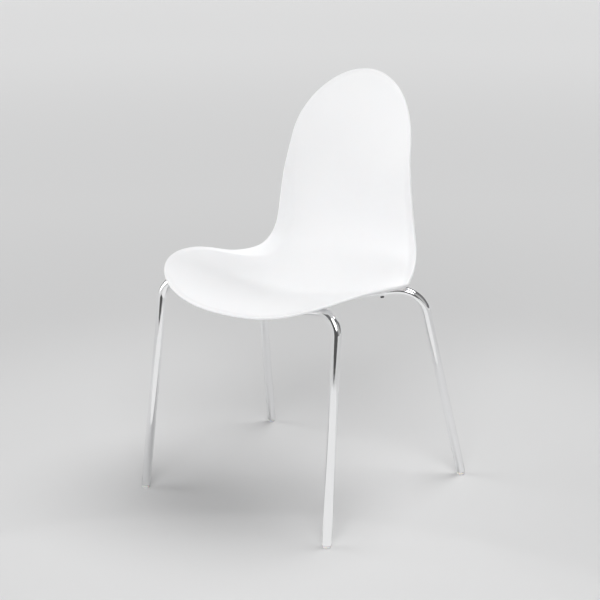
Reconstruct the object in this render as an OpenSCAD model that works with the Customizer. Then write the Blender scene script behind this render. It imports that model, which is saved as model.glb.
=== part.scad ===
// Stacking chair: a one-piece moulded shell on two bent steel tubes.
// Millimetres. +Z is up, the sitter faces -Y, and +X is the sitter's left.
// The origin is on the floor, in the middle of the chair's footprint.

/* [Shell] */
// Thickness of the moulded shell
shell_t = 5; // [3.5:0.5:7]
// Length of the shell's middle line, from the seat's front edge to the top
shell_len = 806; // [790:1:980]
// Height of the middle of the seat's front edge above the floor
front_edge_h = 417; // [342:5:502]
// Width that the seat's rounded front edge grows from
front_w = 480; // [400:2:580]
// Width at the widest part of the seat
seat_w = 506; // [430:2:608]
// Width at the bend between the seat and the back
waist_w = 372; // [310:2:446]
// Width at the middle of the back
back_w = 294; // [246:2:354]
// Width that the rounded top grows from
top_w = 264; // [220:2:320]
// Width of the folded side wing at the bend
wing_w = 25; // [14:1:32]
// Width of the folded rim round the seat and the top
rim_w = 9; // [7:0.5:14]

/* [Frame] */
// Outer diameter of the leg tubes
tube_d = 18; // [15:1:22]
// Wall of the leg tubes
tube_wall = 2; // [1.5:0.5:3]
// Distance between the front feet
front_foot_w = 460; // [380:5:550]
// Distance between the rear feet
rear_foot_w = 508; // [420:4:610]
// Distance from the front feet to the rear feet
foot_depth = 450; // [375:5:540]
// Centre-line radius of the front tube's leg bends
front_bend_r = 42; // [30:1:50]
// Centre-line radius of the rear tube's leg bends
rear_bend_r = 56; // [40:1:62]
// Free height between the shell and the tubes that cross under it
shell_gap = 4; // [2:0.5:8]
// Distance between the two mounting rails
rail_span = 90; // [74:2:130]
// Width of a mounting rail
rail_w = 30; // [24:1:36]
// Thickness of a mounting rail
rail_t = 4; // [3:0.5:6]

/* [Fasteners] */
// Diameter of the mounting bosses under the shell
boss_d = 28; // [22:1:34]
// Nominal diameter of the mounting screws
screw_d = 6; // [5:1:8]
// Outer diameter of the threaded inserts
insert_d = 9; // [7.5:0.5:11]
// Length of the threaded inserts
insert_len = 12; // [8:1:15]
// Distance of the front bosses behind the front tube
front_boss_back = 42; // [34:1:60]
// Distance of the rear bosses in front of the rear tube
rear_boss_front = 44; // [34:1:60]

/* [Feet and bumpers] */
// Height of a glide below the end of its leg
glide_h = 6; // [4:0.5:10]
// Diameter of a glide's foot
glide_d = 15; // [12:0.5:18]
// Depth of a glide's plug inside its leg
plug_len = 22; // [12:1:35]
// Diameter of a stacking bumper
bumper_d = 8; // [6:0.5:12]
// Height of a stacking bumper below its tube
bumper_h = 3; // [2:0.5:6]
// Distance of the front bumpers from the middle of the chair
front_bumper_x = 108; // [100:1:130]
// Distance of the rear bumpers from the middle of the chair
rear_bumper_x = 134; // [110:1:150]

/* [Hidden] */
SIDES = [1, -1];
$fn = 48;

PLASTIC_WHITE = [0.95, 0.95, 0.95];
CHROME = [0.78, 0.79, 0.81];
BLACK = [0.05, 0.05, 0.05];

// ---- Shell: values along its middle line, as [distance from the front edge, value] ----

front_edge_y = -236;
top_rim_w = rim_w - 1;

// Angle of the middle line above the horizontal: seat, bend, lumbar curve, top
lean = [
    [0, 34], [76, 5], [176, -15], [276, 0], [350, 13], [400, 41],
    [470, 85], [540, 94], [647, 79], [737, 70], [shell_len, 65]
];
// Half of the width before the front and the top are rounded off
half_width = [
    [0, front_w / 2], [120, seat_w / 2 - 6], [200, seat_w / 2], [250, seat_w / 2 - 10],
    [300, (seat_w + waist_w) / 4 + 2], [350, waist_w / 2 + 13], [400, waist_w / 2],
    [470, waist_w / 2 - 12], [560, (waist_w + back_w) / 4 - 5], [650, back_w / 2], [shell_len, top_w / 2]
];
// Width of the folded rim, which grows into the wings at the bend
rim = [
    [0, rim_w], [290, rim_w + 1], [360, wing_w - 3], [470, wing_w],
    [560, wing_w - 5], [650, rim_w + 4], [740, top_rim_w], [shell_len, top_rim_w]
];
// How steeply the rim is folded towards the sitter, beyond the sheet's own slope
fold = [[0, 0.4], [230, 0.42], [330, 0.68], [480, 0.64], [560, 0.44], [640, 0.16], [shell_len, 0.14]];
// How much the sheet curves across: rise over the square of the distance from the middle
dish = [
    [0, 0.00022], [130, 0.00054], [250, 0.00074], [370, 0.0004],
    [480, 0.0005], [650, 0.00068], [shell_len, 0.00045]
];

// The rounded front and top, as superellipses: depth and exponent
front_round = [190, 2.4];
top_round = [150, 2];

function slope_at(table, i) =
    let (a = max(i - 1, 0), b = min(i + 1, len(table) - 1))
    (table[b][1] - table[a][1]) / (table[b][0] - table[a][0]);
function span_of(table, s, i = 0) =
    i >= len(table) - 2 || s <= table[i + 1][0] ? i : span_of(table, s, i + 1);
// A smooth curve through a table's points
function curve(table, s) =
    let (i = span_of(table, s), h = table[i + 1][0] - table[i][0],
         t = min(max((s - table[i][0]) / h, 0), 1))
    (2 * t ^ 3 - 3 * t ^ 2 + 1) * table[i][1] + (t ^ 3 - 2 * t ^ 2 + t) * h * slope_at(table, i)
    + (3 * t ^ 2 - 2 * t ^ 3) * table[i + 1][1] + (t ^ 3 - t ^ 2) * h * slope_at(table, i + 1);

// The middle line, stepped out from the lean
spine_steps = 202;
spine_step = shell_len / spine_steps;
spine = [for (i = 0, a = 0, p = [0, front_edge_y, front_edge_h]; i <= spine_steps;
              a = curve(lean, (i + 0.5) * spine_step),
              p = p + spine_step * [1, cos(a), sin(a)],
              i = i + 1) p];
spine_y = [for (p = spine) [p[0], p[1]]];
spine_z = [for (p = spine) [p[0], p[2]]];

// A point of the shell: x across, s along the middle line, up from the dished sheet
function shell_point(x, s, up) =
    let (a = curve(lean, s), h = curve(dish, s) * x * x + up)
    [x, lookup(s, spine_y) - sin(a) * h, lookup(s, spine_z) + cos(a) * h];
// A point at a depth below the sheet's face, measured square to the face
function sheet_point(x, s, depth) =
    shell_point(x, s, -depth * norm([1, 2 * curve(dish, s) * x]));

function rounding(t, p) = (1 - (1 - min(max(t, 0), 1)) ^ p) ^ (1 / p);
// Half of the outline's width at s, moved in by the share f of the rim's width
function outline_x(s, f) =
    (curve(half_width, s) - f * curve(rim, s))
    * rounding((s - f * rim_w) / front_round[0], front_round[1])
    * rounding((shell_len - f * top_rim_w - s) / top_round[0], top_round[1]);

// The outline is a closed loop of points, from the middle of the front edge and up the +X side
loop_n = 120;
cols = 16;
rows = loop_n / 2 - cols;
function loop_s(j, f) =
    f * rim_w + (shell_len - f * (rim_w + top_rim_w)) * (1 - cos(360 * j / loop_n)) / 2;
function loop_xs(j, f) = let (s = loop_s(j, f)) [sign(sin(360 * j / loop_n)) * outline_x(s, f), s];
// A point of the folded rim: f is 0 at the edge and 1 at the crease
function rim_point(j, f, depth, steep) =
    let (p = loop_xs(j, f), s = p[1], k = curve(fold, s),
         square = norm([1, 2 * curve(dish, s) * abs(p[0]) + steep * k]))
    shell_point(p[0], s, (1 - f) * curve(rim, s) * k - depth * square);
// A point of the rounded edge, a degrees round it from the upper face
function edge_point(j, a) =
    let (in = shell_t / 2 * (1 - sin(a)) / curve(rim, loop_s(j, 0)))
    rim_point(j, in, shell_t / 2 * (1 - cos(a)), 1);

// Rings from the crease of the upper face, over the rounded edge, to the crease below
edge_turns = [0, 45, 90, 135, 180];
rings = concat(
    [[for (j = [0:loop_n - 1]) rim_point(j, 1, 0, 0.5)]],
    [[for (j = [0:loop_n - 1]) rim_point(j, 0.6, 0, 1)]],
    [for (a = edge_turns) [for (j = [0:loop_n - 1]) edge_point(j, a)]],
    [[for (j = [0:loop_n - 1]) rim_point(j, 0.6, shell_t, 1)]],
    [[for (j = [0:loop_n - 1]) rim_point(j, 1, shell_t, 0.5)]]
);
ring_count = len(rings);

// Inside the crease each face is a grid, blended between the four sides of the crease loop
function crease(j) = loop_xs((j + loop_n) % loop_n, 1);
function side_loop(c, r) =
    r == 0 ? c - cols / 2 : r == rows ? loop_n / 2 + cols / 2 - c
    : c == cols ? cols / 2 + r : -cols / 2 - r;
function grid_xs(c, r) =
    let (u = c / cols, v = r / rows,
         front = crease(side_loop(c, 0)), top = crease(side_loop(c, rows)),
         right = crease(side_loop(0, r)), left = crease(side_loop(cols, r)))
    (1 - v) * front + v * top + (1 - u) * right + u * left
    - (1 - v) * ((1 - u) * crease(side_loop(0, 0)) + u * crease(side_loop(cols, 0)))
    - v * ((1 - u) * crease(side_loop(0, rows)) + u * crease(side_loop(cols, rows)));
function grid_points(depth) =
    [for (r = [1:rows - 1], c = [1:cols - 1]) let (p = grid_xs(c, r)) sheet_point(p[0], p[1], depth)];
inner_n = (rows - 1) * (cols - 1);
// The index of a grid point: on the border it is a point of the crease ring
function grid_index(c, r, ring, first) =
    c == 0 || c == cols || r == 0 || r == rows
    ? ring * loop_n + (side_loop(c, r) + loop_n) % loop_n
    : first + (r - 1) * (cols - 1) + c - 1;
function split(a, b, c, d) = [[a, b, c], [a, c, d]];
function grid_faces(ring, first, flip) =
    [for (r = [0:rows - 1], c = [0:cols - 1])
        let (a = grid_index(c, r, ring, first), b = grid_index(c + 1, r, ring, first),
             e = grid_index(c + 1, r + 1, ring, first), d = grid_index(c, r + 1, ring, first))
        for (t = flip ? split(a, b, e, d) : split(d, e, b, a)) t];
function ring_faces() =
    [for (k = [0:ring_count - 2], j = [0:loop_n - 1])
        let (n = (j + 1) % loop_n)
        for (t = split(k * loop_n + j, k * loop_n + n, (k + 1) * loop_n + n, (k + 1) * loop_n + j)) t];

module shell() {
    border = [for (ring = rings, p = ring) p];
    color(PLASTIC_WHITE)
        polyhedron(
            points = concat(border, grid_points(0), grid_points(shell_t)),
            faces = concat(ring_faces(),
                           grid_faces(0, len(border), false),
                           grid_faces(ring_count - 1, len(border) + inner_n, true)));
}

// A block whose lower face is the underside of the shell over a small area
patch_n = 8;
function patch_points(x, s, half, depth) =
    [for (i = [0:patch_n], j = [0:patch_n])
        sheet_point(x + half * (2 * i / patch_n - 1), s + half * (2 * j / patch_n - 1), depth)];
function patch_index(i, j) = i * (patch_n + 1) + j;
module under_shell(x, s, half) {
    low = patch_points(x, s, half, shell_t);
    high = patch_points(x, s, half, -2 * boss_d);
    m = (patch_n + 1) ^ 2;
    rim_walk = concat(
        [for (i = [0:patch_n - 1]) patch_index(i, 0)],
        [for (j = [0:patch_n - 1]) patch_index(patch_n, j)],
        [for (i = [patch_n:-1:1]) patch_index(i, patch_n)],
        [for (j = [patch_n:-1:1]) patch_index(0, j)]);
    sides = [for (k = [0:len(rim_walk) - 1])
        let (a = rim_walk[k], b = rim_walk[(k + 1) % len(rim_walk)])
        for (t = split(a, a + m, b + m, b)) t];
    plates = [for (i = [0:patch_n - 1], j = [0:patch_n - 1])
        let (a = patch_index(i, j), b = patch_index(i + 1, j), e = patch_index(i + 1, j + 1), d = patch_index(i, j + 1))
        for (t = concat(split(a, b, e, d), split(m + d, m + e, m + b, m + a))) t];
    polyhedron(points = concat(low, high), faces = concat(sides, plates));
}

// ---- Bent tubes ----

function unit(v) = v / norm(v);
// Puts local X, Y and Z along the given directions, at a place
function frame_at(x, y, z, at) =
    [[x[0], y[0], z[0], at[0]], [x[1], y[1], z[1], at[1]], [x[2], y[2], z[2], at[2]], [0, 0, 0, 1]];
function square_to(v) = unit(cross(v, abs(v[2]) < 0.9 ? [0, 0, 1] : [1, 0, 0]));
// A direction turned about an axis
function turned(v, axis, a) = v * cos(a) + cross(axis, v) * sin(a) + axis * (axis * v) * (1 - cos(a));

// The bend at corner i of a path: its axis, its angle, and where it starts
function way(path, i) = unit(path[i + 1] - path[i]);
function bend_axis(path, i) = unit(cross(way(path, i - 1), way(path, i)));
function bend_turn(path, i) = acos(way(path, i - 1) * way(path, i));
function bend_start(path, r, i) = path[i] - way(path, i - 1) * r * tan(bend_turn(path, i) / 2);
// A direction square to stretch i, carried along the path so that the tube doesn't twist
function side_way(path, i) =
    i == 0 ? square_to(way(path, 0)) : turned(side_way(path, i - 1), bend_axis(path, i), bend_turn(path, i));

bend_step = 11;
// Stations along the tube, as [centre, direction, side direction]
function bend_stations(path, r, i) =
    let (axis = bend_axis(path, i), turn = bend_turn(path, i), start = bend_start(path, r, i),
         inward = cross(axis, way(path, i - 1)) * r, n = ceil(turn / bend_step))
    [for (k = [0:n]) let (a = turn * k / n)
        [start + inward - turned(inward, axis, a),
         turned(way(path, i - 1), axis, a), turned(side_way(path, i - 1), axis, a)]];
function stations(path, radii) = let (last = len(path) - 1) concat(
    [[path[0], way(path, 0), side_way(path, 0)]],
    [for (i = [1:last - 1]) each bend_stations(path, radii[i - 1], i)],
    [[path[last], way(path, last - 1), side_way(path, last - 1)]]);

tube_sides = 24;
function tube_ring(at, r) =
    [for (k = [0:tube_sides - 1]) let (a = 360 * k / tube_sides)
        at[0] + r * (cos(a) * at[2] + sin(a) * cross(at[1], at[2]))];
// Both ends of the tube are cut level, at the height of the glides
function cut_level(ring, along, h) = [for (p = ring) p + along * (h - p[2]) / along[2]];
function tube_rings(at, r, h) = let (last = len(at) - 1)
    [for (i = [0:last]) i == 0 || i == last ? cut_level(tube_ring(at[i], r), at[i][1], h) : tube_ring(at[i], r)];

module bent_tube(path, radii, d, bore, h) {
    at = stations(path, radii);
    count = len(at);
    outside = tube_rings(at, d / 2, h);
    inside = tube_rings(at, bore / 2 / cos(180 / tube_sides), h);
    half = count * tube_sides;
    walls = [for (i = [0:count - 2], k = [0:tube_sides - 1])
        let (n = (k + 1) % tube_sides, a = i * tube_sides + k, b = i * tube_sides + n)
        for (t = concat(split(a, a + tube_sides, b + tube_sides, b),
                        split(half + a, half + b, half + b + tube_sides, half + a + tube_sides))) t];
    ends = [for (k = [0:tube_sides - 1])
        let (n = (k + 1) % tube_sides, top = (count - 1) * tube_sides)
        for (t = concat(split(k, n, half + n, half + k),
                        split(top + k, half + top + k, half + top + n, top + n))) t];
    polyhedron(points = [for (ring = concat(outside, inside), p = ring) p], faces = concat(walls, ends));
}

// ---- Frame ----

tube_bore = tube_d - 2 * tube_wall;
front_foot = [front_foot_w / 2, -foot_depth / 2 + 4, 0];
rear_foot = [rear_foot_w / 2, foot_depth / 2 + 4, 0];

// The tubes cross just below the shell
front_cross_y = -166;
rear_cross_y = 68;
function station_at(y, i = 0) = spine[i][1] >= y || i == spine_steps ? spine[i][0] : station_at(y, i + 1);
function cross_h(y) = sheet_point(0, station_at(y), shell_t)[2] - shell_gap - tube_d / 2;
front_cross_half = 60;
rear_cross_half = 76;
front_cross = [front_cross_half, front_cross_y, cross_h(front_cross_y)];
rear_cross = [rear_cross_half, rear_cross_y, cross_h(rear_cross_y)];
// The corner between each leg and the run under the seat: in from the seat's side, behind the run and above it
front_corner_step = [-40, 0, 19.5];
rear_corner_step = [-47, 60.5, 24];
function corner_at(cross, step) = [seat_w / 2, cross[1], cross[2]] + step;
front_corner = corner_at(front_cross, front_corner_step);
rear_corner = corner_at(rear_cross, rear_corner_step);
cross_bend_r = 70;
// How each leg leans, for each millimetre of height
front_lean = (front_corner - front_foot) / front_corner[2];
rear_lean = (rear_corner - rear_foot) / rear_corner[2];

function mirror_x(p) = [-p[0], p[1], p[2]];
function tube_path(foot, corner, cross) =
    [foot, corner, cross, mirror_x(cross), mirror_x(corner), mirror_x(foot)];
front_path = tube_path(front_foot, front_corner, front_cross);
rear_path = tube_path(rear_foot, rear_corner, rear_cross);
front_radii = [front_bend_r, cross_bend_r, cross_bend_r, front_bend_r];
rear_radii = [rear_bend_r, cross_bend_r, cross_bend_r, rear_bend_r];

module leg_tube(path, radii, bumper_at) {
    color(CHROME) difference() {
        bent_tube(path, radii, tube_d, tube_bore, glide_h);
        for (side = SIDES) bumper_frame(bumper_at, side)
            translate([0, 0, -tube_d]) cylinder(d = bumper_hole_d, h = tube_d);
    }
}

module front_leg_tube() leg_tube(front_path, front_radii, front_bumper);
module rear_leg_tube() leg_tube(rear_path, rear_radii, rear_bumper);

// ---- Stacking bumpers, pushed into the underside of the tubes ----

bumper_hole_d = 5.2;
bumper_stem_d = 5;
bumper_stem_len = 3;
// A bumper's place: a point on the run between the leg bend and the middle, and the run's direction
function on_run(corner, cross, x) = cross + (corner - cross) * (x - cross[0]) / (corner[0] - cross[0]);
front_bumper = [on_run(front_corner, front_cross, front_bumper_x), unit(front_corner - front_cross)];
rear_bumper = [on_run(rear_corner, rear_cross, rear_bumper_x), unit(rear_corner - rear_cross)];

module bumper_frame(at, side) {
    mirror([side < 0 ? 1 : 0, 0, 0]) {
        x = at[1];
        y = unit(cross([0, 0, 1], x));
        multmatrix(frame_at(x, y, cross(x, y), at[0])) children();
    }
}

module bumper(at, side) {
    low = tube_d / 2 + bumper_h;
    color(BLACK) bumper_frame(at, side) {
        difference() {
            intersection() {
                translate([0, 0, -low]) cylinder(d = bumper_d, h = low);
                translate([0, 0, bumper_d - low]) sphere(d = 2 * bumper_d);
            }
            rotate([0, 90, 0]) cylinder(d = tube_d, h = 2 * bumper_d, center = true);
        }
        translate([0, 0, -tube_d / 2 - bumper_h / 2])
            cylinder(d = bumper_stem_d, h = bumper_h / 2 + tube_wall + bumper_stem_len);
    }
}

module bumper_front_left() bumper(front_bumper, 1);
module bumper_front_right() bumper(front_bumper, -1);
module bumper_rear_left() bumper(rear_bumper, 1);
module bumper_rear_right() bumper(rear_bumper, -1);

// ---- Glides, pushed into the ends of the legs ----

plug_gap = 0.1;
neck_d = glide_d - 4;
neck_h = 1.2;

module glide(foot, lean, side) {
    z = unit(lean);
    x = square_to(z);
    color(PLASTIC_WHITE) mirror([side < 0 ? 1 : 0, 0, 0]) {
        translate([foot[0] + lean[0] * glide_h, foot[1] + lean[1] * glide_h, 0]) {
            cylinder(d1 = glide_d - 2, d2 = glide_d, h = 1);
            translate([0, 0, 1]) cylinder(d = glide_d, h = glide_h - neck_h - 1);
            cylinder(d = neck_d, h = glide_h + 2);
        }
        multmatrix(frame_at(x, cross(z, x), z, foot + lean * (glide_h + 1.5)))
            cylinder(d = tube_bore - 2 * plug_gap, h = plug_len);
    }
}

module glide_front_left() glide(front_foot, front_lean, 1);
module glide_front_right() glide(front_foot, front_lean, -1);
module glide_rear_left() glide(rear_foot, rear_lean, 1);
module glide_rear_right() glide(rear_foot, rear_lean, -1);

// ---- Mounting: rails welded under the tubes, and screws up into the shell's bosses ----

rail_x = rail_span / 2;
// The tubes' centres over a rail, where the tubes are lowest
function over_rail(corner, cross) =
    let (low = on_run(corner, cross, max(rail_x - rail_w / 2, cross[0]))) [rail_x, cross[1], low[2]];
rail_front = over_rail(front_corner, front_cross);
rail_rear = over_rail(rear_corner, rear_cross);
rail_way = unit(rail_rear - rail_front);
rail_len = norm(rail_rear - rail_front);
rail_over = 8;
washer_d = 2.2 * screw_d;
washer_t = 1.5;
head_d = 1.9 * screw_d;
head_h = 0.55 * screw_d;
socket_d = 0.6 * screw_d;
thread_gap = 0.05;
bond_gap = 0.2;
boss_taper = 3;

// Local Y runs back along the rail, and local Z is square to its upper face, from that face
rail_up = cross([1, 0, 0], rail_way);
function rail_at(along) = rail_front + rail_way * along - rail_up * tube_d / 2;
module on_rail(side, along) {
    mirror([side < 0 ? 1 : 0, 0, 0])
        multmatrix(frame_at([1, 0, 0], rail_way, rail_up, rail_at(along))) children();
}
boss_along = [front_boss_back, rail_len - rear_boss_front];

module mounting_rail(side) {
    color(CHROME) on_rail(side, 0) difference() {
        translate([-rail_w / 2, -rail_over, -rail_t]) cube([rail_w, rail_len + 2 * rail_over, rail_t]);
        for (y = boss_along) translate([0, y, -2 * rail_t]) cylinder(d = screw_d + 0.6, h = 3 * rail_t);
        for (x = [-1, 1], y = [-1, 1]) rail_corner(x, y);
    }
}
// What is cut away to round one corner of a rail
module rail_corner(x, y) {
    r = rail_w / 5;
    end_y = y < 0 ? -rail_over : rail_len + rail_over;
    translate([x * (rail_w / 2 - r), end_y - y * r, -rail_t / 2]) difference() {
        translate([x * r, y * r, 0]) cube([2 * r, 2 * r, 2 * rail_t], center = true);
        cylinder(r = r, h = 3 * rail_t, center = true);
    }
}
module mounting_rail_left() mounting_rail(1);
module mounting_rail_right() mounting_rail(-1);

// Each boss stands on its rail and is bonded to the shell's underside
module boss(side, along) {
    color(PLASTIC_WHITE) difference() {
        on_rail(side, along) cylinder(d1 = boss_d - boss_taper, d2 = boss_d, h = 2 * boss_d);
        translate([0, 0, -bond_gap]) under_shell(side * rail_x, station_at(rail_at(along)[1]), boss_d);
        on_rail(side, along) translate([0, 0, -1]) cylinder(d = insert_d, h = insert_len + 1);
    }
}
module boss_front_left() boss(1, boss_along[0]);
module boss_front_right() boss(-1, boss_along[0]);
module boss_rear_left() boss(1, boss_along[1]);
module boss_rear_right() boss(-1, boss_along[1]);

module each_mounting() {
    for (side = SIDES, along = boss_along) on_rail(side, along) children();
}

module threaded_inserts() {
    color([0.78, 0.62, 0.3]) each_mounting() difference() {
        cylinder(d = insert_d, h = insert_len);
        translate([0, 0, -1]) cylinder(d = screw_d, h = insert_len - 1);
    }
}

module washers() {
    color(CHROME) each_mounting() translate([0, 0, -rail_t - washer_t]) difference() {
        cylinder(d = washer_d, h = washer_t);
        translate([0, 0, -1]) cylinder(d = screw_d + 0.4, h = washer_t + 2);
    }
}

module mounting_screws() {
    under = -rail_t - washer_t;
    color(CHROME) each_mounting() difference() {
        union() {
            translate([0, 0, under]) cylinder(d = screw_d - 2 * thread_gap, h = insert_len - 4 - under);
            translate([0, 0, under - head_h]) cylinder(d1 = head_d - 2, d2 = head_d, h = head_h);
        }
        translate([0, 0, under - head_h - 1]) cylinder(d = socket_d, h = head_h, $fn = 6);
    }
}

shell();
boss_front_left();
boss_front_right();
boss_rear_left();
boss_rear_right();
threaded_inserts();
mounting_screws();
washers();
mounting_rail_left();
mounting_rail_right();
front_leg_tube();
rear_leg_tube();
bumper_front_left();
bumper_front_right();
bumper_rear_left();
bumper_rear_right();
glide_front_left();
glide_front_right();
glide_rear_left();
glide_rear_right();
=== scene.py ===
"""Stacking chair: the visual model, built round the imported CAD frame.

Everything is in the frame's own axes: +Z up, the sitter faces -Y, +X is the sitter's left.
Shapes are worked out in millimetres and become metres when a mesh is made.
"""
import math

import bpy
import numpy as np
from mathutils import Matrix, Vector


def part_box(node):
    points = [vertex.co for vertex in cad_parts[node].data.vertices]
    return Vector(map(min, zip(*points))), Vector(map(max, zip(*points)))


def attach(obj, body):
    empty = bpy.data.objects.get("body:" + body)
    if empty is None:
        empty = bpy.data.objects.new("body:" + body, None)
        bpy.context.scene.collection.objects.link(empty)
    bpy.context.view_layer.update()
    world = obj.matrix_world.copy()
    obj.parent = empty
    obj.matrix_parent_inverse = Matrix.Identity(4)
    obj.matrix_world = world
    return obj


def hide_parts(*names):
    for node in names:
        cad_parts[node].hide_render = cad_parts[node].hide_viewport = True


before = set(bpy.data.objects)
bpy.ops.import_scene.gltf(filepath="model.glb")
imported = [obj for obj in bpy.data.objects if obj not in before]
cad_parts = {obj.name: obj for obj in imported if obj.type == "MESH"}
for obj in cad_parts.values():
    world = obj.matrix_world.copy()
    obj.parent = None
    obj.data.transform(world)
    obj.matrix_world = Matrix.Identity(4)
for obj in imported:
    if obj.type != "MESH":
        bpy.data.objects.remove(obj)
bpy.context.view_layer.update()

MM = 0.001


def direction(azimuth, elevation):
    """The way out from the chair, in degrees round from the front and above the horizon."""
    a, e = math.radians(azimuth), math.radians(elevation)
    return Vector((math.sin(a) * math.cos(e), -math.cos(a) * math.cos(e), math.sin(e)))


# ---- Camera ----

# The view: degrees round from the front and above the horizon, and metres
VIEW_AZIMUTH, VIEW_ELEVATION = 37.02, 16.29
VIEW_DISTANCE = 2.7708
VIEW_TARGET = Vector((0, 0.004, 0.4))
VIEW_SHIFT = (-0.0015, -0.0105)
SENSOR, LENS = 36, 82.8


def view_axes():
    """The view's right, up and back directions."""
    back = direction(VIEW_AZIMUTH, VIEW_ELEVATION)
    a = math.radians(VIEW_AZIMUTH)
    right = Vector((math.cos(a), math.sin(a), 0))
    return right, back.cross(right), back


def make_camera():
    right, up, back = view_axes()
    data = bpy.data.cameras.new("camera")
    data.sensor_width, data.lens = SENSOR, LENS
    data.clip_start, data.clip_end = 0.05, 200
    camera = bpy.data.objects.new("camera", data)
    place = VIEW_TARGET + back * VIEW_DISTANCE + right * VIEW_SHIFT[0] + up * VIEW_SHIFT[1]
    camera.matrix_world = Matrix.Translation(place) @ Matrix((right, up, back)).transposed().to_4x4()
    bpy.context.scene.collection.objects.link(camera)
    bpy.context.scene.camera = camera


# ---- Meshes ----


def add_piece(name, points, faces, smooth=True):
    """A mesh object from points in millimetres."""
    mesh = bpy.data.meshes.new(name)
    mesh.from_pydata((np.asarray(points) * MM).tolist(), [], faces)
    mesh.polygons.foreach_set("use_smooth", [smooth] * len(mesh.polygons))
    mesh.validate()
    mesh.update()
    piece = bpy.data.objects.new(name, mesh)
    bpy.context.scene.collection.objects.link(piece)
    return piece


def ring_faces(count, n, closed=False):
    """Quads between successive rings of n points each."""
    last = count if closed else count - 1
    return [(k * n + j, k * n + (j + 1) % n,
             (k + 1) % count * n + (j + 1) % n, (k + 1) % count * n + j)
            for k in range(last) for j in range(n)]


# ---- Shell: values along its middle line, as (distance from the front edge, value) ----

SHELL_T = 5
SHELL_LEN = 806
FRONT_EDGE = (-236, 417)
RIM_W, TOP_RIM_W = 9, 8
LEAN = [(0, 34), (76, 5), (176, -15), (276, 0), (350, 13), (400, 41),
        (470, 85), (540, 94), (647, 79), (737, 70), (SHELL_LEN, 65)]
HALF_WIDTH = [(0, 240), (120, 247), (200, 253), (250, 243), (300, 221.5), (350, 199), (400, 186),
              (470, 174), (560, 161.5), (650, 147), (SHELL_LEN, 132)]
RIM = [(0, RIM_W), (290, 10), (360, 22), (470, 25), (560, 20), (650, 13),
       (740, TOP_RIM_W), (SHELL_LEN, TOP_RIM_W)]
FOLD = [(0, 0.4), (230, 0.42), (330, 0.68), (480, 0.64), (560, 0.44), (640, 0.16), (SHELL_LEN, 0.14)]
DISH = [(0, 0.00022), (130, 0.00054), (250, 0.00074), (370, 0.0004),
        (480, 0.0005), (650, 0.00068), (SHELL_LEN, 0.00045)]
FRONT_ROUND, TOP_ROUND = (190, 2.4), (150, 2)
SPINE_STEPS = 2020
# The crease is eased over this share of the rim's width, on both sides
EASE = 0.3
LOOP_N, COLS = 360, 52
ROWS = LOOP_N // 2 - COLS
RIM_RINGS = 12
EDGE_STEPS = 12
# 2 is a half-round edge, and more is squarer
EDGE_POWER = 2.3


def curve(table, s):
    """A smooth curve through a table's points."""
    x, y = np.array(table, float).T
    slope = (np.append(y[1:], y[-1]) - np.insert(y[:-1], 0, y[0])) / (
        np.append(x[1:], x[-1]) - np.insert(x[:-1], 0, x[0]))
    i = np.clip(np.searchsorted(x, s) - 1, 0, len(x) - 2)
    h = x[i + 1] - x[i]
    t = np.clip((s - x[i]) / h, 0, 1)
    return ((2 * t**3 - 3 * t**2 + 1) * y[i] + (t**3 - 2 * t**2 + t) * h * slope[i]
            + (3 * t**2 - 2 * t**3) * y[i + 1] + (t**3 - t**2) * h * slope[i + 1])


def make_spine():
    """The shell's middle line: distances along it, and its Y and Z there."""
    step = SHELL_LEN / SPINE_STEPS
    s = np.arange(SPINE_STEPS + 1) * step
    a = np.radians(curve(LEAN, s[:-1] + step / 2))
    y = FRONT_EDGE[0] + np.insert(np.cumsum(np.cos(a) * step), 0, 0)
    z = FRONT_EDGE[1] + np.insert(np.cumsum(np.sin(a) * step), 0, 0)
    return s, y, z


SPINE = make_spine()


def shell_point(x, s, up):
    """A point of the shell: x across, s along the middle line, up from the dished sheet."""
    a = np.radians(curve(LEAN, s))
    h = curve(DISH, s) * x**2 + up
    y, z = np.interp(s, SPINE[0], SPINE[1]), np.interp(s, SPINE[0], SPINE[2])
    return np.stack([x, y - np.sin(a) * h, z + np.cos(a) * h], -1)


def rounding(t, power):
    return (1 - (1 - np.clip(t, 0, 1)) ** power) ** (1 / power)


def loop_xs(j, f):
    """A place on the outline, moved in by the share f of the rim's width. j goes round from the front."""
    turn = 2 * np.pi * j / LOOP_N
    s = f * RIM_W + (SHELL_LEN - f * (RIM_W + TOP_RIM_W)) * (1 - np.cos(turn)) / 2
    x = ((curve(HALF_WIDTH, s) - f * curve(RIM, s))
         * rounding((s - f * RIM_W) / FRONT_ROUND[0], FRONT_ROUND[1])
         * rounding((SHELL_LEN - f * TOP_RIM_W - s) / TOP_ROUND[0], TOP_ROUND[1]))
    return np.sign(np.sin(turn)) * x, s


def eased(u):
    """u where it is positive and 0 where it is negative, with a smooth turn between them."""
    return np.where(u > EASE, u, np.where(u < -EASE, 0, (u + EASE) ** 2 / (4 * EASE)))


def rim_point(j, f):
    """A point of the folded rim: f is 0 at the edge and 1 at the crease."""
    x, s = loop_xs(j, f)
    return shell_point(x, s, eased(1 - f) * curve(RIM, s) * curve(FOLD, s))


def unit(v):
    return v / np.linalg.norm(v, axis=-1, keepdims=True)


def rim_frame(j, f, d=1e-3):
    """A point of the rim, its normal and the direction out of the edge."""
    round_way = rim_point(j + d, f) - rim_point(j - d, f)
    out_way = rim_point(j, f - d) - rim_point(j, f + d)
    normal = unit(np.cross(out_way, round_way))
    return rim_point(j, f), normal, unit(np.cross(round_way, normal))


def sheet_frame(x, s, d=0.05):
    """A point of the sheet inside the crease, and its normal."""
    normal = np.cross(shell_point(x + d, s, 0) - shell_point(x - d, s, 0),
                      shell_point(x, s + d, 0) - shell_point(x, s - d, 0))
    return shell_point(x, s, 0), unit(normal)


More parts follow.
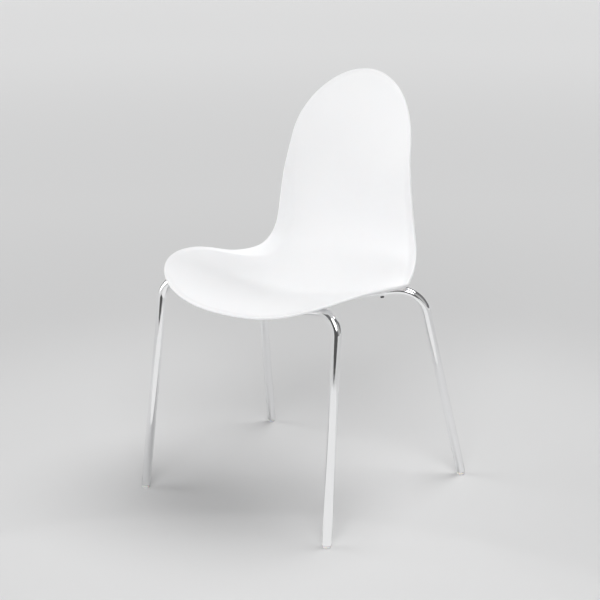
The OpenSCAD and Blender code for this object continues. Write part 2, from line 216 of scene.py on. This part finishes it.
def sheet_grid():
    """Places inside the crease, blended between the four sides of the crease loop, without those sides."""
    def side(j):
        return np.stack(loop_xs(np.asarray(j, float) % LOOP_N, 1 + EASE), -1)

    c, r = np.meshgrid(np.arange(1, COLS), np.arange(1, ROWS))
    u, v = (c / COLS)[..., None], (r / ROWS)[..., None]
    low, high, half = -COLS / 2, COLS / 2, LOOP_N / 2
    front, top = side(c + low), side(half + high - c)
    right, left = side(low - r), side(high + r)
    xs = ((1 - v) * front + v * top + (1 - u) * right + u * left
          - (1 - v) * ((1 - u) * side(low) + u * side(high))
          - v * ((1 - u) * side(half + high) + u * side(half + low)))
    return xs.reshape(-1, 2)


def grid_index(c, r, ring, first):
    """A grid point's index; on the border it is a point of the crease ring."""
    if 0 < c < COLS and 0 < r < ROWS:
        return first + (r - 1) * (COLS - 1) + c - 1
    j = (c - COLS // 2 if r == 0 else LOOP_N // 2 + COLS // 2 - c if r == ROWS
         else COLS // 2 + r if c == COLS else -COLS // 2 - r)
    return ring * LOOP_N + j % LOOP_N


def make_shell():
    """One closed mesh: crease ring, folded rim, rounded edge, the same below, and a grid in each crease."""
    j = np.arange(LOOP_N, dtype=float)
    radius = SHELL_T / 2
    inset = radius / curve(RIM, loop_xs(j, 0)[1])
    top, below = [], []
    for k in range(RIM_RINGS + 1):
        share = k / RIM_RINGS
        point, normal, out = rim_frame(j, (1 - share) * (1 + EASE) + share * inset)
        top.append(point)
        below.append(point - SHELL_T * normal)
    edge = []
    for k in range(1, EDGE_STEPS):
        a = math.pi * k / EDGE_STEPS
        rise = math.copysign(abs(math.cos(a)) ** (2 / EDGE_POWER), math.cos(a))
        edge.append(point + radius * ((rise - 1) * normal + math.sin(a) ** (2 / EDGE_POWER) * out))
    rings = top + edge + below[::-1]
    sheet, normal = sheet_frame(*sheet_grid().T)
    border = len(rings) * LOOP_N
    points = np.concatenate(rings + [sheet, sheet - SHELL_T * normal])
    faces = [f[::-1] for f in ring_faces(len(rings), LOOP_N)]
    for c in range(COLS):
        for r in range(ROWS):
            corners = ((c, r), (c + 1, r), (c + 1, r + 1), (c, r + 1))
            faces.append([grid_index(*at, 0, border) for at in corners])
            faces.append([grid_index(*at, len(rings) - 1, border + len(sheet)) for at in reversed(corners)])
    return add_piece("shell_surface", points, faces)


# ---- Bent tubes ----

TUBE_D, TUBE_WALL = 18, 2
GLIDE_H = 6
TUBE_SIDES = 64
BEND_STEP = 3
# The edges of the cut ends are broken by this much
BREAK = 0.35
# Feet, half of the run under the seat, and the corner between leg and run: across, behind and above the run
FRONT_FOOT, REAR_FOOT = (230, -221, 0), (254, 229, 0)
FRONT_CROSS_HALF, REAR_CROSS_HALF = 60, 76
FRONT_CORNER, REAR_CORNER = (213, 0, 19.5), (206, 60.5, 24)
FRONT_BEND_R, REAR_BEND_R, CROSS_BEND_R = 42, 56, 70


def node_points(node):
    """A CAD node's vertices, in millimetres."""
    return np.array([v.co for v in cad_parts[node].data.vertices]) / MM


def run_middle(node, cross_half):
    """Y and Z of the middle of a tube's run under the seat, from the CAD node."""
    points = node_points(node)
    straight = points[np.abs(points[:, 0]) < cross_half]
    return (straight[:, 1:].min(0) + straight[:, 1:].max(0)) / 2


def tube_path(node, foot, corner, cross_half):
    """The corners of a leg tube's middle line, from one foot to the other."""
    y, z = run_middle(node, cross_half)
    half = [np.array(foot, float), np.array([0, y, z]) + corner, np.array([cross_half, y, z])]
    return np.array(half + [p * (-1, 1, 1) for p in half[::-1]])


def turned(v, axis, angle):
    c, s = math.cos(angle), math.sin(angle)
    return v * c + np.cross(axis, v) * s + axis * (axis @ v) * (1 - c)


def stations(path, radii):
    """Places along a bent line: centre, direction, and a side direction that doesn't twist."""
    way = unit(path[1] - path[0])
    side = unit(np.cross(way, (1, 0, 0)))
    found = [(path[0], way, side)]
    for i, radius in enumerate(radii, 1):
        after = unit(path[i + 1] - path[i])
        axis = unit(np.cross(way, after))
        turn = math.acos(way @ after)
        start = path[i] - way * radius * math.tan(turn / 2)
        inward = np.cross(axis, way) * radius
        steps = math.ceil(math.degrees(turn) / BEND_STEP)
        for k in range(steps + 1):
            a = turn * k / steps
            centre = start + inward - turned(inward, axis, a)
            found.append((centre, turned(way, axis, a), turned(side, axis, a)))
        way, side = after, found[-1][2]
    found.append((path[-1], way, side))
    return found


def tube_ring(station, radius, level=None):
    """A ring of points round a station, moved along the tube to a level height if one is given."""
    centre, way, side = station
    a = np.linspace(0, 2 * math.pi, TUBE_SIDES, endpoint=False)[:, None]
    ring = centre + radius * (np.cos(a) * side + np.sin(a) * np.cross(way, side))
    if level is not None:
        ring = ring + way * ((level - ring[:, 2]) / way[2])[:, None]
    return ring


def make_leg_tube(name, path, radii):
    """A hollow tube, cut level at both ends with broken edges, without the CAD tube's bumper holes."""
    places = stations(path, radii)
    outer, inner = TUBE_D / 2, TUBE_D / 2 - TUBE_WALL
    first, last = places[0], places[-1]
    ends = [(outer, GLIDE_H + BREAK), (outer - BREAK, GLIDE_H),
            (inner + BREAK, GLIDE_H), (inner, GLIDE_H + BREAK)]
    rings = [tube_ring(p, outer) for p in places[1:-1]]
    rings += [tube_ring(last, r, h) for r, h in ends]
    rings += [tube_ring(p, inner) for p in places[-2:0:-1]]
    rings += [tube_ring(first, r, h) for r, h in ends[::-1]]
    faces = [f[::-1] for f in ring_faces(len(rings), TUBE_SIDES, closed=True)]
    return add_piece(name, np.concatenate(rings), faces)


# ---- Weld beads where the tubes cross the rails ----

BEAD_R = 1.9
# How far a bead stands off the middle of its tube, and above the tube's lowest line
BEAD_OFF, BEAD_UP = 5.2, 0.9
# A bead stops this far inside the rail's edges
BEAD_GAP = 3
BEAD_SIDES, BEAD_STEPS = 16, 72
# Each weld is a row of overlapping puddles this far apart, that bulge by a share of the radius
PUDDLE, PUDDLE_BULGE = 1.7, 0.09
# A slower unevenness: a share of the radius, and radians for each millimetre
UNEVEN, UNEVEN_RATE = 0.05, 2.3
# How squarely a bead's ends close, and the radius that is left there
END_POWER, END_R = 8, 0.02


def weld_bead(low, high, y, z):
    """One rippled bead along X, thinner at its ends."""
    x = np.linspace(low, high, BEAD_STEPS)
    share = np.linspace(0, 1, BEAD_STEPS)
    ripple = (1 + PUDDLE_BULGE * np.abs(np.sin(np.pi * x / PUDDLE))
              + UNEVEN * np.sin(x * UNEVEN_RATE + y))
    radius = BEAD_R * ripple * np.sqrt(1 - (2 * share - 1) ** END_POWER) + END_R
    a = np.linspace(0, 2 * math.pi, BEAD_SIDES, endpoint=False)
    side, up = np.outer(radius, np.cos(a)), np.outer(radius, np.sin(a))
    across = np.repeat(x[:, None], BEAD_SIDES, 1)
    rings = np.stack([across, y + side, z + up], -1).reshape(-1, 3)
    first_cap = tuple(range(BEAD_SIDES))[::-1]
    last_cap = tuple(range((BEAD_STEPS - 1) * BEAD_SIDES, BEAD_STEPS * BEAD_SIDES))
    return rings, [f[::-1] for f in ring_faces(BEAD_STEPS, BEAD_SIDES)] + [first_cap, last_cap]


def make_welds():
    """Two beads at each of the four places where a leg tube lies on a rail."""
    points, faces, first = [], [], 0
    for side_name in ("left", "right"):
        low, high = (np.array(p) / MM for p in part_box(f"mounting_rail_{side_name}"))
        for tube, cross_half in (("front_leg_tube", FRONT_CROSS_HALF), ("rear_leg_tube", REAR_CROSS_HALF)):
            y, z = run_middle(tube, cross_half)
            for way in (1, -1):
                bead, bead_faces = weld_bead(low[0] + BEAD_GAP, high[0] - BEAD_GAP,
                                             y + way * BEAD_OFF, z - TUBE_D / 2 + BEAD_UP)
                points.append(bead)
                faces += [tuple(first + i for i in f) for f in bead_faces]
                first += len(bead)
    return add_piece("weld_beads", np.concatenate(points), faces)


# ---- Materials ----


class Shader:
    """A node material with one Principled shader, and short ways to add nodes."""

    def __init__(self, name, **values):
        self.material = bpy.data.materials.new(name)
        self.material.use_nodes = True
        self.tree = self.material.node_tree
        self.shader = self.tree.nodes["Principled BSDF"]
        for key, value in values.items():
            self.shader.inputs[key.replace("_", " ")].default_value = value

    def node(self, kind, **values):
        made = self.tree.nodes.new("ShaderNode" + kind)
        for key, value in values.items():
            if hasattr(made, key):
                setattr(made, key, value)
            else:
                made.inputs[key.replace("_", " ")].default_value = value
        return made

    def link(self, a, b):
        self.tree.links.new(a, b)

    def noise(self, scale, detail):
        """Noise in the object's own metres."""
        place = self.node("TexCoord")
        made = self.node("TexNoise", Scale=scale, Detail=detail)
        self.link(place.outputs["Object"], made.inputs["Vector"])
        return made.outputs["Fac"]

    def ranged(self, value, low, high, start=0.3, stop=0.7):
        """A value from start to stop becomes one from low to high."""
        made = self.node("MapRange")
        for key, number in zip(("From Min", "From Max", "To Min", "To Max"), (start, stop, low, high)):
            made.inputs[key].default_value = number
        self.link(value, made.inputs["Value"])
        return made.outputs["Result"]

    def mixed(self, share, a, b):
        made = self.node("Mix", data_type="RGBA")
        made.inputs["A"].default_value = (*a, 1)
        made.inputs["B"].default_value = (*b, 1)
        self.link(share, made.inputs["Factor"])
        return made.outputs["Result"]

    def bump(self, height, distance, strength, onto=None):
        made = self.node("Bump", Strength=strength, Distance=distance)
        self.link(height, made.inputs["Height"])
        if onto is not None:
            self.link(onto, made.inputs["Normal"])
        return made.outputs["Normal"]

    def feed(self, key, socket):
        self.link(socket, self.shader.inputs[key])


def shell_plastic():
    """Satin white moulded plastic: fine grain, faint flow, and slightly polished patches where people sit."""
    m = Shader("shell_plastic", IOR=1.49, Subsurface_Weight=0.15, Subsurface_Scale=0.004)
    m.shader.inputs["Subsurface Radius"].default_value = (1.0, 0.9, 0.85)
    flow = m.noise(7, 3)
    m.feed("Base Color", m.mixed(flow, (0.9, 0.902, 0.91), (0.92, 0.922, 0.928)))
    m.feed("Roughness", m.ranged(m.noise(14, 4), 0.4, 0.5))
    grain = m.bump(m.noise(1500, 2), 0.00004, 0.35)
    m.feed("Normal", m.bump(m.noise(22, 2), 0.0006, 0.25, grain))
    return m.material


def chrome():
    """Polished chrome plate: faint polishing lines and a few dull spots."""
    m = Shader("frame_chrome", Metallic=1.0)
    m.feed("Base Color", m.mixed(m.noise(9, 3), (0.9, 0.905, 0.915), (0.955, 0.957, 0.96)))
    m.feed("Roughness", m.ranged(m.noise(60, 5), 0.05, 0.13))
    m.feed("Normal", m.bump(m.noise(120, 3), 0.00005, 0.2))
    return m.material


def bumper_plastic():
    m = Shader("bumper_plastic", IOR=1.5)
    m.feed("Base Color", m.mixed(m.noise(300, 3), (0.012, 0.012, 0.013), (0.03, 0.03, 0.032)))
    m.feed("Roughness", m.ranged(m.noise(500, 3), 0.42, 0.6))
    m.feed("Normal", m.bump(m.noise(2500, 2), 0.00003, 0.4))
    return m.material


def glide_plastic():
    """Pale, slightly see-through plastic with scuffs from the floor."""
    m = Shader("glide_plastic", IOR=1.5, Subsurface_Weight=0.4, Subsurface_Scale=0.004)
    m.feed("Base Color", m.mixed(m.noise(160, 4), (0.74, 0.74, 0.72), (0.9, 0.9, 0.9)))
    m.feed("Roughness", m.ranged(m.noise(400, 4), 0.25, 0.5))
    m.feed("Normal", m.bump(m.noise(900, 3), 0.00004, 0.4))
    return m.material


def zinc_steel():
    m = Shader("screw_steel", Metallic=1.0)
    m.feed("Base Color", m.mixed(m.noise(250, 4), (0.5, 0.5, 0.51), (0.66, 0.67, 0.69)))
    m.feed("Roughness", m.ranged(m.noise(700, 4), 0.22, 0.42))
    m.feed("Normal", m.bump(m.noise(1800, 3), 0.00004, 0.4))
    return m.material


def turned_brass():
    m = Shader("insert_brass", Metallic=1.0)
    m.feed("Base Color", m.mixed(m.noise(300, 4), (0.6, 0.42, 0.16), (0.78, 0.6, 0.28)))
    m.feed("Roughness", m.ranged(m.noise(900, 4), 0.2, 0.4))
    m.feed("Normal", m.bump(m.noise(3000, 2), 0.00003, 0.4))
    return m.material


# The floor's reflectance by distance from the chair, as (metres, reflectance). This paints shade on the floor
# in a ring round 1.4 m, and paints light near the chair and far away
FLOOR_PAINTED_SHADING = [(0, 0.7), (0.7, 0.7), (1.4, 0.63), (3, 0.67), (9, 0.76), (20, 0.81)]


def floor_paper_painted_shading():
    """Pale backdrop paper with painted light and shade: a little lighter near the chair and far away, darker
    between.
    """
    m = Shader("floor_paper_painted_shading", Roughness=0.8)
    place = m.node("TexCoord")
    distance = m.node("VectorMath", operation="LENGTH")
    m.link(place.outputs["Object"], distance.inputs[0])
    share = m.ranged(distance.outputs["Value"], 0, 1, 0, FLOOR_PAINTED_SHADING[-1][0])
    # The ramp paints the floor's light and shade by distance from the chair
    ramp = m.node("ValToRGB")
    ramp.color_ramp.interpolation = "EASE"
    for k, (metres, painted_tone) in enumerate(FLOOR_PAINTED_SHADING):
        at = metres / FLOOR_PAINTED_SHADING[-1][0]
        stop = ramp.color_ramp.elements[k] if k < 2 else ramp.color_ramp.elements.new(at)
        stop.position, stop.color = at, (painted_tone, painted_tone, painted_tone, 1)
    m.link(share, ramp.inputs["Fac"])
    m.feed("Base Color", ramp.outputs["Color"])
    m.feed("Normal", m.bump(m.noise(40, 3), 0.001, 0.05))
    return m.material


# ---- Studio ----

# In metres
FLOOR_RADIUS, FLOOR_SIDES = 60, 96


def make_floor():
    a = np.linspace(0, 2 * math.pi, FLOOR_SIDES, endpoint=False)
    rim = np.stack([np.cos(a), np.sin(a), a * 0], -1) * FLOOR_RADIUS / MM
    floor = add_piece("floor", rim, [tuple(range(len(a)))], smooth=False)
    floor.data.materials.append(floor_paper_painted_shading())


def light_turn(azimuth, elevation):
    """The rotation that makes a light shine from a direction, given as the camera's view angles are."""
    return (-direction(azimuth, elevation)).to_track_quat("-Z", "Y").to_euler()


def add_sky_light(name, azimuth, elevation, strength, spread):
    """A very large, far soft light: the same on all of the floor."""
    data = bpy.data.lights.new(name, "SUN")
    data.energy, data.angle = strength, math.radians(spread)
    light = bpy.data.objects.new(name, data)
    light.rotation_euler = light_turn(azimuth, elevation)
    bpy.context.scene.collection.objects.link(light)


WORLD_STRENGTH = 0.16
# Name, degrees round from the front and above the horizon, strength and spread in degrees
SKY_LIGHTS = [("left_fill", -60, 14, 1.25, 40), ("key", 36, 36, 1.5, 40), ("rear_top", 150, 70, 1.45, 40)]
# Cards that show only in reflections, as a studio's reflectors and flags: name, degrees round, metres away,
# metres up to the middle, half width and half length in metres, brightness, and whether it lies level
CARDS = [
    ("front_reflector", 30, 0.75, 0.002, 0.8, 0.58, 0.84, True),
    ("overhead", 30, 0.5, 2.4, 1.3, 1.3, 0.6, True),
    ("right_reflector", 92, 2.0, 1.25, 0.9, 0.95, 0.45, False),
    ("front_flag", 18, 1.45, 0.42, 1.2, 0.42, 0.09, False),
    ("left_flag", -112, 1.6, 0.75, 0.25, 0.745, 0.0, False),
    ("right_flag", 172, 1.9, 0.8, 0.12, 0.78, 0.1, False),
]
CARD_SIDES = 40


def add_card(name, azimuth, distance, height, half_width, half_length, brightness, lying):
    """An oval card that faces the chair, or lies level."""
    a = np.linspace(0, 2 * math.pi, CARD_SIDES, endpoint=False)
    turn = math.radians(azimuth)
    side = np.array([math.cos(turn), math.sin(turn), 0])
    outward = np.array([math.sin(turn), -math.cos(turn), 0])
    middle = outward * distance + (0, 0, height)
    along = -outward if lying else (0, 0, 1)
    oval = middle + np.outer(np.cos(a) * half_width, side) + np.outer(np.sin(a) * half_length, along)
    card = add_piece(name, oval / MM, [tuple(range(CARD_SIDES))], smooth=False)
    m = Shader(name, Roughness=1.0, Emission_Color=(brightness,) * 3 + (1,), Emission_Strength=1.0)
    m.shader.inputs["Base Color"].default_value = (0, 0, 0, 1)
    m.shader.inputs["Specular IOR Level"].default_value = 0
    card.data.materials.append(m.material)
    for ray in ("camera", "diffuse", "transmission", "volume_scatter", "shadow"):
        setattr(card, "visible_" + ray, False)


def make_studio():
    world = bpy.data.worlds.new("studio")
    world.use_nodes = True
    world.node_tree.nodes["Background"].inputs["Color"].default_value = (0.98, 0.985, 1, 1)
    world.node_tree.nodes["Background"].inputs["Strength"].default_value = WORLD_STRENGTH
    bpy.context.scene.world = world
    bpy.context.scene.view_settings.view_transform = "Standard"
    for light in SKY_LIGHTS:
        add_sky_light(*light)
    for card in CARDS:
        add_card(*card)


# ---- Assembly ----

NODE_FINISH = {
    "shell": "shell_plastic", "boss": "shell_plastic", "threaded": "insert_brass",
    "mounting_rail": "frame_chrome", "mounting_screws": "screw_steel", "washers": "screw_steel",
    "front_leg": "frame_chrome", "rear_leg": "frame_chrome", "bumper": "bumper_plastic",
    "glide": "glide_plastic",
}
# A bevel's width in millimetres before it is limited, its segments, and the turn in degrees it starts from
EDGE_BEVEL, BEVEL_SEGMENTS, BEVEL_ANGLE = 0.35, 3, 35
# Vertices closer than this, in metres, become one before the bevel
WELD_DISTANCE = 1e-5
# These nodes are smooth, or have a finer piece in their place
NOT_BEVELLED = ("shell", "front_leg", "rear_leg", "boss")


def finish_nodes(materials):
    """Gives every CAD node its procedural material."""
    for node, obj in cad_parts.items():
        finish = next(f for start, f in NODE_FINISH.items() if node.startswith(start))
        obj.data.materials.clear()
        obj.data.materials.append(materials[finish])
        if not node.startswith(NOT_BEVELLED):
            soften_edges(obj)


def soften_edges(obj):
    """A bevel on a hard part's edges, which its fine facets limit to hundredths of a millimetre."""
    weld = obj.modifiers.new("weld", "WELD")
    weld.merge_threshold = WELD_DISTANCE
    bevel = obj.modifiers.new("bevel", "BEVEL")
    bevel.width, bevel.segments = EDGE_BEVEL * MM, BEVEL_SEGMENTS
    bevel.limit_method, bevel.angle_limit = "ANGLE", math.radians(BEVEL_ANGLE)


def stand_in(piece, node, finish, materials):
    """A visual piece takes the place of a CAD node."""
    piece.data.materials.append(materials[finish])
    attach(piece, "root")
    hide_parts(node)


def build():
    make_camera()
    make_floor()
    make_studio()
    makers = {"shell_plastic": shell_plastic, "frame_chrome": chrome, "bumper_plastic": bumper_plastic,
              "glide_plastic": glide_plastic, "screw_steel": zinc_steel, "insert_brass": turned_brass}
    materials = {name: make() for name, make in makers.items()}
    finish_nodes(materials)
    stand_in(make_shell(), "shell", "shell_plastic", materials)
    front = tube_path("front_leg_tube", FRONT_FOOT, FRONT_CORNER, FRONT_CROSS_HALF)
    rear = tube_path("rear_leg_tube", REAR_FOOT, REAR_CORNER, REAR_CROSS_HALF)
    for name, path, bend in (("front", front, FRONT_BEND_R), ("rear", rear, REAR_BEND_R)):
        tube = make_leg_tube(f"{name}_legs", path, (bend, CROSS_BEND_R, CROSS_BEND_R, bend))
        stand_in(tube, f"{name}_leg_tube", "frame_chrome", materials)
    welds = make_welds()
    welds.data.materials.append(materials["frame_chrome"])
    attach(welds, "root")


build()
